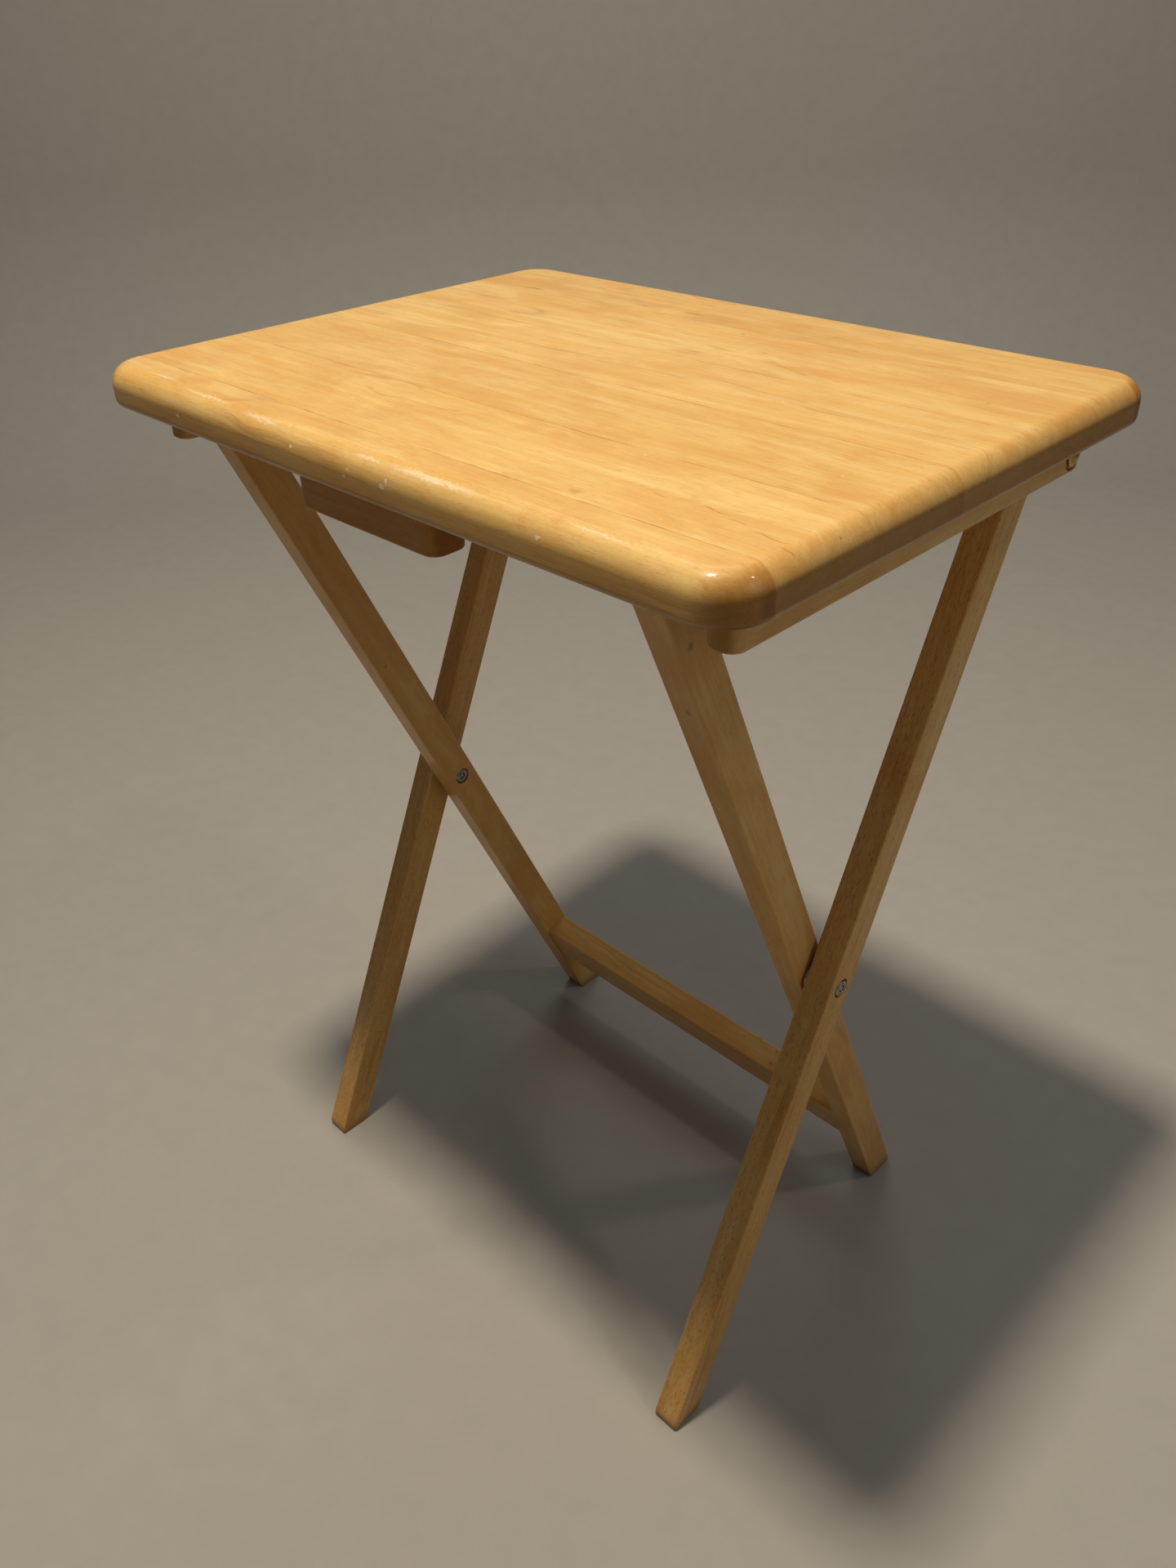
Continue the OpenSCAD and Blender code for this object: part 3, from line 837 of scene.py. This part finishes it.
for side, s in SIDES.items():
    rivet_end = hole([(RIVET_RECESS_R, RIVET_SINK), (BORE_R, LEG_T + MM)])
    nut_end = hole([(NUT_POCKET_R, NUT_POCKET), (BORE_R, LEG_T + MM)])
    holes = [
        turned(rivet_end, outwards(s, OUTER_BACK, PIVOT.y, PIVOT.z)),
        turned(nut_end, inwards(s, OUTER_FACE, HINGE.y, HINGE.z)),
    ]
    name = f"outer_leg_{side}"
    look = wood(f"{name}_wood", OUTER_GRAIN, (500 * s, 60, 30), 0.33, (40 * s, -60), 0.02,
                streaks=0.7, flecks=0.66, marks=LEG_KNOTS[name], darker_near_floor=True)
    leg(name, -1, outer_length, holes, "outer_frame", look)

    brad_hole = hole([(BRAD_HEAD_R + LOOSE, BRAD_SINK), (BRAD_R + LOOSE, BRAD_L + MM)], 0.1 * MM)
    dowel_hole = [(DOWEL_R + LOOSE, MM), (DOWEL_R + LOOSE, -DOWEL_IN_LEG - LOOSE)]
    holes = [
        turned(rivet_end, inwards(s, INNER_FACE, PIVOT.y, PIVOT.z)),
        turned(hole([(TENON_R, TENON_L)]), inwards(s, INNER_FACE, RAIL.y, RAIL.z)),
        turned(brad_hole, at_brad(s), 24),
    ]
    holes += [turned(dowel_hole, inwards(s, INNER_FACE, d.y, d.z), 24) for d in DOWELS]
    name = f"inner_leg_{side}"
    look = wood(f"{name}_wood", INNER_GRAIN, (-700 * s, 20, 80), 0.38, (-30, -80), 0.02,
                streaks=0.5, flecks=0.25, marks=LEG_KNOTS[name], darker_near_floor=True)
    leg(name, 1, inner_length, holes, "inner_frame", look)


# ---------------------------------------------------------------- rails

TENON_EASE = 0.8 * MM
SHOULDER_EASE = 0.4 * MM
tenon_end = rail_high.x
tenon_r = TENON_R - LOOSE
half_rail = [
    (tenon_r - TENON_EASE, -tenon_end), (tenon_r, -tenon_end + TENON_EASE), (tenon_r, -INNER_FACE),
    (RAIL_R - SHOULDER_EASE, -INNER_FACE), (RAIL_R, -INNER_FACE + SHOULDER_EASE), (RAIL_R, 0),
]
rail_profile = half_rail + [(r, -h) for r, h in half_rail[-2::-1]]
bm = turned(rail_profile, outwards(1, 0, RAIL.y, RAIL.z), 64)
brad_bore = [(BRAD_R + LOOSE, MM), (BRAD_R + LOOSE, -BRAD_L - MM)]
bm = cut(bm, [turned(brad_bore, at_brad(s), 24) for s in SIDES.values()])
look = wood("top_rail_wood", (0, 0, 0), (250, 10, 10), 0.1, (-138, 600), 0.02)
piece("top_rail", bm, "inner_frame", "leg_wood", look, "top_rail")

across = Vector((0, math.cos(LEAN), math.sin(LEAN))) * STRETCHER_T / 2
along = UP_LEG * STRETCHER_H / 2
corners = [STRETCHER + across * a + along * b for a, b in ((-1, -1), (1, -1), (1, 1), (-1, 1))]
outline = rounded([(c.y, c.z) for c in corners], [STRETCHER_EDGE_R] * 4, 4)
bm = eased_prism(outline, stretcher_low.x, stretcher_high.x, sideways, STRETCHER_EASE,
                 STRETCHER_EASE)
bore = [(DOWEL_R + LOOSE, MM), (DOWEL_R + LOOSE, -DOWEL_IN_RAIL - LOOSE)]
bm = cut(bm, [turned(bore, outwards(s, INNER_FACE, d.y, d.z), 24) for s in SIDES.values() for d in DOWELS])
look = wood("stretcher_wood", (-LEAN, 0, 0), (-330, 50, 40), 0.4, (20, -50), 0.03, streaks=0.7,
            marks=STRETCHER_KNOTS)
piece("lower_stretcher", bm, "inner_frame", "leg_wood", look, "lower_stretcher")


FLUTES = 12
FLUTE_DEPTH = 0.25 * MM


def flute(angle, height):
    """How deep a dowel's straight flutes are cut at an angle, the same at every height."""
    return FLUTE_DEPTH * max(0, math.cos(FLUTES * angle))


bm = bmesh.new()
inner_end, outer_end = -DOWEL_IN_RAIL, DOWEL_IN_LEG
dowel_profile = [(DOWEL_R - MM, inner_end), (DOWEL_R, inner_end + MM), (DOWEL_R, outer_end - MM),
                 (DOWEL_R - MM, outer_end)]
for s in SIDES.values():
    for d in DOWELS:
        grooved(dowel_profile, outwards(s, INNER_FACE, d.y, d.z), flute, 72, bm)
look = wood("dowel_wood", (0, 0, 0), (90, 10, 10), 0.0, (0, 0), 0.01)
piece("stretcher_dowels", bm, "inner_frame", "leg_wood", look, "stretcher_dowels")


# ---------------------------------------------------------------- crossing rivets

SPACER_R = 10 * MM
RIM = 0.25 * MM
SPACER_CHAMFER = 0.4 * MM
END_FIT = 0.3 * MM
FLANGE_R = 5.5 * MM
RIVET_WASHER_T = 2 * MM
head_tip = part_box("crossing_rivet_right")[1].x
tail_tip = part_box("crossing_rivet_right")[0].x

# Radius and depth below the tip, in millimetres, from the middle out: the tip, the groove round it
# and the rolled lip
RIVET_TIP = [
    (0.2, 0.15), (0.9, 0.22), (1.3, 0.38), (1.5, 0.65), (1.5, 1.4), (2.5, 1.4), (2.5, 0.5),
    (2.6, 0.2), (2.8, 0.05), (3.1, 0.0), (3.45, 0.05), (3.75, 0.2), (3.9, 0.4),
]
HEAD_EDGE = [
    (4.1, 0.4), (4.9, 0.42), (5.25, 0.55), (5.45, 0.8), (5.5, 1.1), (5.5, 3.5), (5.3, 3.7), (3, 3.7),
]
TAIL_EDGE = [(3.9, 0.5), (3, 0.5)]
rivet_profile = [(r * MM, head_tip - d * MM) for r, d in RIVET_TIP + HEAD_EDGE]
rivet_profile += [(r * MM, tail_tip + d * MM) for r, d in (RIVET_TIP + TAIL_EDGE)[::-1]]

for side, s in SIDES.items():
    at_pivot = outwards(s, 0, PIVOT.y, PIVOT.z)
    name = f"crossing_rivet_{side}"
    piece(name, turned(rivet_profile, at_pivot), "outer_frame", "zinc_steel", ZINC, name)
    name = f"rivet_washer_{side}"
    seat = INNER_FACE + RIVET_SINK - END_FIT
    bm = washer(BORE_R, FLANGE_R, seat - RIVET_WASHER_T, seat, at_pivot, 0.45 * MM)
    piece(name, bm, "outer_frame", "zinc_steel", ZINC, name)
    name = f"leg_spacer_{side}"
    low, high = sorted(abs(c.x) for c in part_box(name))
    piece(name, washer(BORE_R, SPACER_R, low, high, at_pivot, SPACER_CHAMFER), "outer_frame", "zinc_steel",
          ZINC, name)


# ---------------------------------------------------------------- the top's pivot bolts

HEAD_R = 6.2 * MM
HEAD_RIM = 1.2 * MM
DOME_H = 2 * MM
WASHER_R = 7 * MM
WASHER_T = 2 * MM
NUT_R = 5.8 * MM
NUT_T = 5 * MM
THREAD = 0.8 * MM
THREAD_DEPTH = 0.3 * MM
NUT_MOUTH = 0.4 * MM

washer_low = cleat_high.x - BOLT_SINK + END_FIT
seat = washer_low + WASHER_T
bolt_end = OUTER_FACE + END_FIT
dome_edge = HEAD_R - 0.3 * MM
dome_r = (dome_edge ** 2 + DOME_H ** 2) / (2 * DOME_H)
dome_centre = seat + HEAD_RIM + DOME_H - dome_r
half_angle = math.degrees(math.asin(dome_edge / dome_r))
bolt_profile = [(h, r) for r, h in arc((dome_centre, 0), dome_r, 2, half_angle, 12)]
bolt_profile += [(HEAD_R, seat + HEAD_RIM - 0.1 * MM), (HEAD_R, seat + RIM), (HEAD_R - RIM, seat),
                 (PIN_R, seat)]
thread_turns = int((NUT_POCKET + 3 * MM) / THREAD)
thread_top = bolt_end + THREAD * (thread_turns + 0.5)
for i in range(2 * thread_turns + 1):
    bolt_profile.append((PIN_R if i % 2 == 0 else PIN_R - THREAD_DEPTH, thread_top - i * THREAD / 2))
bolt_profile += [(PIN_R - 0.5 * MM, bolt_end)]


def nut_section(angle, turn):
    """The nut's section at an angle: a hexagon at that turn, whose corners are chamfered."""
    flat = NUT_R * math.cos(math.pi / 6)
    wide = flat / math.cos((angle - turn) % (math.pi / 3) - math.pi / 6)
    low, high = OUTER_FACE + NUT_POCKET - NUT_T, OUTER_FACE + NUT_POCKET
    outer = []
    for k in range(5):
        limit = flat - 0.1 * MM + k * (NUT_R - flat + 0.1 * MM) / 4
        outer.append((min(wide, limit), low + k * 0.12 * MM))
    outer += [(r, low + high - h) for r, h in reversed(outer)]
    bore = [(BORE_R + NUT_MOUTH, high), (BORE_R, high - NUT_MOUTH), (BORE_R, low + NUT_MOUTH),
            (BORE_R + NUT_MOUTH, low)]
    return outer + bore


for side, s in SIDES.items():
    at_hinge = outwards(s, 0, HINGE.y, HINGE.z)
    name = f"pivot_bolt_{side}"
    piece(name, turned(bolt_profile, at_hinge, 64), "hinge_bolts", "brass_plate", BRASS, name)
    name = f"bolt_washer_{side}"
    bm = washer(BORE_R, WASHER_R, washer_low, seat, at_hinge)
    piece(name, bm, "hinge_bolts", "brass_plate", BRASS, name)
    name = f"cleat_spacer_{side}"
    low, high = sorted(abs(c.x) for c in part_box(name))
    piece(name, washer(BORE_R, SPACER_R, low, high, at_hinge, SPACER_CHAMFER), "outer_frame", "zinc_steel",
          ZINC, name)
    name = f"pivot_nut_{side}"
    bm = swept(lambda angle: nut_section(angle, -LEAN * s), at_hinge, 72)
    piece(name, bm, "outer_frame", "zinc_steel", ZINC, name)


# ---------------------------------------------------------------- screws and brads

SCREW_HEAD_R = 3.7 * MM
SCREW_HEAD_T = 2.5 * MM
SCREW_PITCH = 2.2 * MM
CROSS_L = 4.2 * MM
CROSS_W = 0.7 * MM
CROSS_DEPTH = 1.4 * MM
CROSS_MOUTH = 0.01 * MM
CROSS_FLOOR = 0.25 * MM
POINT_L = 4 * MM
SCREW_THREAD_DEPTH = 0.45 * MM


def screw_thread(angle, height):
    """How deep the screw's thread is cut at an angle and height."""
    phase = (height / SCREW_PITCH - angle / (2 * math.pi)) % 1
    return SCREW_THREAD_DEPTH * min(1, abs(phase - 0.5) * 3)


def screws(places, low_z):
    """Pan-head screws driven up through a bar: cross recess below, thread and point above."""
    head_z = low_z + SCREW_SINK
    tip_z = TOP_LOW.z + SCREW_BITE
    long, wide = CROSS_L / 2, CROSS_W / 2
    cross = [(-long, -wide), (long, -wide), (long, wide), (-long, wide)]
    bm = bmesh.new()
    crosses = []
    for x, y in places:
        crown = arc((0, head_z - SCREW_HEAD_T * 0.4), 1, 180, 270, 8)
        head = [(0.2 * MM, head_z - SCREW_HEAD_T)]
        for c, d in crown[::-1][1:]:
            rise = (d - (head_z - SCREW_HEAD_T * 0.4)) * SCREW_HEAD_T * 0.6
            head.append((-c * SCREW_HEAD_R, head_z - SCREW_HEAD_T * 0.4 + rise))
        head += [(SCREW_HEAD_R, head_z - 0.1 * MM), (SCREW_HEAD_R - 0.1 * MM, head_z), (SCREW_R, head_z)]
        turned(head + [(SCREW_R, head_z + MM), (SCREW_R * 0.8, head_z + 1.2 * MM)],
               Matrix.Translation((x, y, 0)), 32, bm)
        steps = 90
        shank_low = head_z + MM
        shank = []
        for i in range(steps + 1):
            h = shank_low + (tip_z - shank_low) * i / steps
            taper = min(1, (tip_z - h) / POINT_L + 0.12)
            shank.append((SCREW_R * taper, h))
        grooved(shank, Matrix.Translation((x, y, 0)), screw_thread, 20, bm)
        for turn in (0, QUARTER):
            slot = eased_prism(cross, 0, CROSS_DEPTH + MM, upright, CROSS_MOUTH, CROSS_FLOOR, 2)
            below_head = Matrix.Translation((x, y, head_z - SCREW_HEAD_T - MM))
            # Every screw stops at a turn of its own, which its place gives
            place = below_head @ Matrix.Rotation(turn + x, 4, "Z")
            bmesh.ops.transform(slot, matrix=place, verts=slot.verts)
            crosses.append(slot)
    return cut(bm, crosses)


cleat_places, block_places = SCREW_PLACES[:-2], SCREW_PLACES[-2:]
piece("cleat_screws", screws(cleat_places, cleat_low.z), "tabletop", "zinc_steel", ZINC, "cleat_screws")
piece("block_screws", screws(block_places, block_low.z), "tabletop", "zinc_steel", ZINC, "block_screws")

brad_profile = [
    (BRAD_HEAD_R - 0.3 * MM, -0.2 * MM), (BRAD_HEAD_R, -0.35 * MM), (BRAD_HEAD_R, -0.8 * MM),
    (BRAD_R, -0.8 * MM), (BRAD_R, -BRAD_L + 2 * MM), (0.15 * MM, -BRAD_L),
]
bm = bmesh.new()
for s in SIDES.values():
    turned(brad_profile, at_brad(s), 24, bm)
piece("rail_brads", bm, "inner_frame", "zinc_steel", DARK_STEEL, "rail_brads")


# ---------------------------------------------------------------- stage, light and camera

floor_graph = Graph("pale_floor")
floor_graph.shader.inputs["Roughness"].default_value = 0.85
texture = floor_graph.node("TexCoord")
SPECKLES_PER_METRE = 40
speckle = floor_graph.noise(texture.outputs["Object"], (SPECKLES_PER_METRE,) * 3, 3, 0.6)
floor_graph.feed(floor_graph.shader.inputs["Base Color"],
                 floor_graph.mix(speckle, colour(167, 164, 156), colour(177, 174, 166)))

VIEW_AZIMUTH = math.radians(45.08)
VIEW_DOWN = math.radians(33.523)
VIEW_ROLL = math.radians(-1.535)
CAMERA_AT = Vector((0.494, -0.511, 0.848))
forward = Vector((-math.sin(VIEW_AZIMUTH) * math.cos(VIEW_DOWN),
                  math.cos(VIEW_AZIMUTH) * math.cos(VIEW_DOWN), -math.sin(VIEW_DOWN)))
right = Vector((math.cos(VIEW_AZIMUTH), math.sin(VIEW_AZIMUTH), 0))
above = right.cross(forward)
rolled_right = right * math.cos(VIEW_ROLL) + above * math.sin(VIEW_ROLL)
rolled_up = above * math.cos(VIEW_ROLL) - right * math.sin(VIEW_ROLL)

bpy.context.scene.view_settings.view_transform = "Standard"

camera = bpy.data.objects.new("camera", bpy.data.cameras.new("camera"))
bpy.context.scene.collection.objects.link(camera)
bpy.context.scene.camera = camera
camera.data.lens = 28.22
camera.data.sensor_width = 36
camera.data.clip_start = 0.02
camera.data.clip_end = 60
camera.matrix_world = Matrix((rolled_right, rolled_up, -forward)).transposed().to_4x4()
camera.location = CAMERA_AT


def backdrop():
    """A floor that curves up into a wall far behind the table, square to the view."""
    away, turn_r, tall, half = 1.6, 0.5, 3.0, 5.0
    section = [(-4.0, 0.0), (away, 0.0)]
    section += [(away + u, turn_r + v) for u, v in arc((0, 0), turn_r, -90, 0, 16)]
    section.append((away + turn_r, tall))
    back = Vector((forward.x, forward.y, 0)).normalized()
    bm = bmesh.new()
    rows = [
        [bm.verts.new(back * d + right * w + Vector((0, 0, h))) for w in (-half, half)]
        for d, h in section
    ]
    for a, b in zip(rows, rows[1:]):
        bm.faces.new((a[0], a[1], b[1], b[0]))
    mesh = bpy.data.meshes.new("backdrop")
    bm.to_mesh(mesh)
    bm.free()
    mesh.shade_smooth()
    mesh.materials.append(floor_graph.material)
    obj = bpy.data.objects.new("backdrop", mesh)
    bpy.context.scene.collection.objects.link(obj)


backdrop()


def lamp(name, at, aim, size, power, tint):
    """A square soft light."""
    data = bpy.data.lights.new(name, "AREA")
    data.size = size
    data.energy = power
    data.color = tint
    obj = bpy.data.objects.new(name, data)
    bpy.context.scene.collection.objects.link(obj)
    obj.location = at
    obj.rotation_mode = "QUATERNION"
    obj.rotation_quaternion = (Vector(aim) - Vector(at)).to_track_quat("-Z", "Y")


WARM = (1.0, 0.87, 0.70)
COOL = (0.94, 0.95, 0.94)
lamp("ceiling_lamp", (-0.09, -0.36, 2.51), (0, 0, 0.4), 0.2, 43, WARM)
lamp("back_lamp", (1.31, 0.63, 2.51), (0, 0, 0.5), 0.16, 4, WARM)
lamp("window", (1.64, -2.02, 1.6), (0, 0, 0.4), 0.7, 0.8, COOL)
lamp("room_fill", (2.6, 0.5, 1.8), (0, 0, 0.3), 1.6, 6.8, (0.95, 0.98, 1.0))
lamp("wall_wash", (-1.2, 1.2, 2.9), (-1.6, 1.6, 0.9), 1.2, 10, (0.94, 0.97, 1.0))

world = bpy.data.worlds.new("studio")
bpy.context.scene.world = world
world.use_nodes = True
world.node_tree.nodes["Background"].inputs["Color"].default_value = (0.80, 0.84, 0.90, 1)
world.node_tree.nodes["Background"].inputs["Strength"].default_value = 0.07
